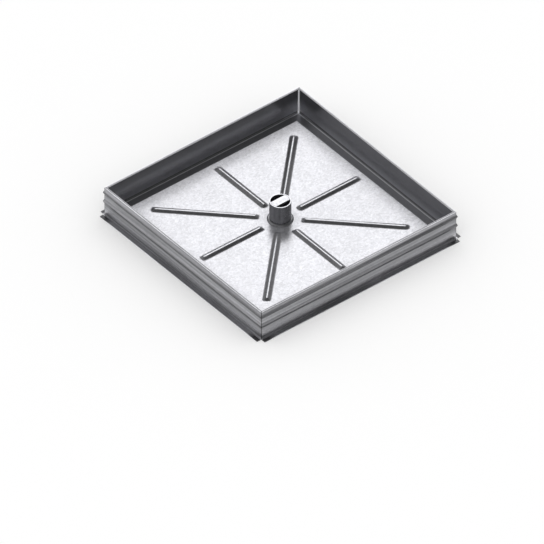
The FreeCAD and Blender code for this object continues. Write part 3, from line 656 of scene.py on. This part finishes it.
weld_zinc = galvanised("zinc_painted_weld", colour=(0.94, 0.94, 0.95), roughness=0.45, crystal=0.003,
                       mottle=0.04, grain=0.04, metal=0.0)
for quarter, corner in enumerate(("back_right", "back_left", "front_left", "front_right")):
    bead = weld_bead("corner_weld_" + corner, quarter)
    fit(bead, "tray_corner_welds", weld_zinc, WELD_EDGE_BREAK)


# Lifting tube
# A piece of steel tube, sawn off square and broken at the mouth, stood on the middle of the
# tray's floor and welded there. It keeps the lifting hook clear of the paving that fills the tray.
TUBE_OUT = 0.02415
TUBE_IN = 0.02155
TUBE_MOUTH = 0.0735
# Painted highlight on the mouth's edge.
MOUTH_HIGHLIGHT_LEVELS = (0.0729, 0.0733)
MOUTH_HIGHLIGHT_GAIN = 1.9
HIDDEN_EDGE = 0.00005
MOUTH_EDGE = 0.0005
TURNED_EDGE_BREAK = 0.0001


def turned(name, outline, steps=144):
    """Ring turned about the vertical axis: a closed section in radius and height, carried round a full
    circle."""
    radius, z = outline.reshape(-1, 2).T
    angle = np.linspace(0.0, 2 * math.pi, steps, endpoint=False)[:, None]
    points = [radius * np.cos(angle), radius * np.sin(angle), np.broadcast_to(z, (steps, len(z)))]
    return shell(name, np.stack(points, axis=-1), loop=True)


def painted_mouth_highlight(tree, place, tone, gloss):
    """Painted highlight on the sawn mouth."""
    z = add_node(tree, "SeparateXYZ", {0: place}).outputs[2]
    return times(tree, tone, stretch(tree, z, MOUTH_HIGHLIGHT_LEVELS, (1.0, MOUTH_HIGHLIGHT_GAIN))), gloss, 1.0


tube_corners = [(TUBE_IN, FLOOR_TOP), (TUBE_OUT, FLOOR_TOP), (TUBE_OUT, TUBE_MOUTH), (TUBE_IN, TUBE_MOUTH)]
tube_section = rounded(tube_corners, [HIDDEN_EDGE, HIDDEN_EDGE, MOUTH_EDGE, MOUTH_EDGE])
tube_zinc = galvanised("galvanised_tube", colour=(0.42, 0.42, 0.435), roughness=0.3, crystal=0.005,
                       mottle=0.06, grain=0.04, streaks=(9, 9, 420), streak=0.05, wave=0.00003,
                       local=painted_mouth_highlight)
tube = turned("lifting_tube_turned", tube_section)
fit(tube, "lifting_tube", tube_zinc, TURNED_EDGE_BREAK)


# Collar
# A steel ring slipped over the tube's foot and welded down with it, its outer shoulder rounded
# over. It spreads the pull of the lifting hook into the tray's floor.
COLLAR_IN = 0.0243
COLLAR_OUT = 0.02935
COLLAR_TOP = 0.0276
COLLAR_BEVEL = 0.003
SHOULDER_ROUND = 0.0022
COLLAR_EDGE = 0.0004

collar_corners = [(COLLAR_IN, FLOOR_TOP), (COLLAR_OUT, FLOOR_TOP), (COLLAR_OUT, COLLAR_TOP - COLLAR_BEVEL),
                  (COLLAR_OUT - COLLAR_BEVEL, COLLAR_TOP), (COLLAR_IN, COLLAR_TOP)]
collar_folds = [HIDDEN_EDGE, HIDDEN_EDGE, SHOULDER_ROUND, SHOULDER_ROUND, COLLAR_EDGE]
collar_section = rounded(collar_corners, collar_folds)
collar_zinc = galvanised("galvanised_collar", colour=(0.40, 0.40, 0.412), roughness=0.32, crystal=0.004,
                         mottle=0.07, grain=0.05, streaks=(12, 12, 500), streak=0.04, wave=0.00003)
collar = turned("collar_turned", collar_section)
fit(collar, "tube_collar", collar_zinc, TURNED_EDGE_BREAK)


# Crossbar
# A flat steel bar across the tube's mouth, its ends cut round to the bore and welded in flush. The
# lifting hook goes down beside it, turns under it and lifts the tray by it.
BAR_REACH = 0.02145
BAR_HALF = 0.0095
BAR_THICK = 0.005
BAR_END_POINTS = 15
BAR_EDGE_BREAK = 0.0004

swing = np.linspace(-1.0, 1.0, BAR_END_POINTS) * math.asin(BAR_HALF / BAR_REACH)
end_arc = BAR_REACH * np.exp(1j * swing)
bar_outline = np.concatenate([end_arc, -end_arc])
bar_plan = np.stack([bar_outline.real, bar_outline.imag], axis=-1)
bar_rings = np.stack([np.insert(bar_plan, 2, z, axis=1) for z in (TUBE_MOUTH - BAR_THICK, TUBE_MOUTH)])
bar_zinc = galvanised("galvanised_crossbar", colour=(0.68, 0.68, 0.70), roughness=0.32, crystal=0.0035,
                      mottle=0.14, grain=0.08, streaks=(20, 900, 900), streak=0.05, wave=0.00002)
crossbar = shell("flat_crossbar", bar_rings)
fit(crossbar, "lifting_crossbar", bar_zinc, BAR_EDGE_BREAK)
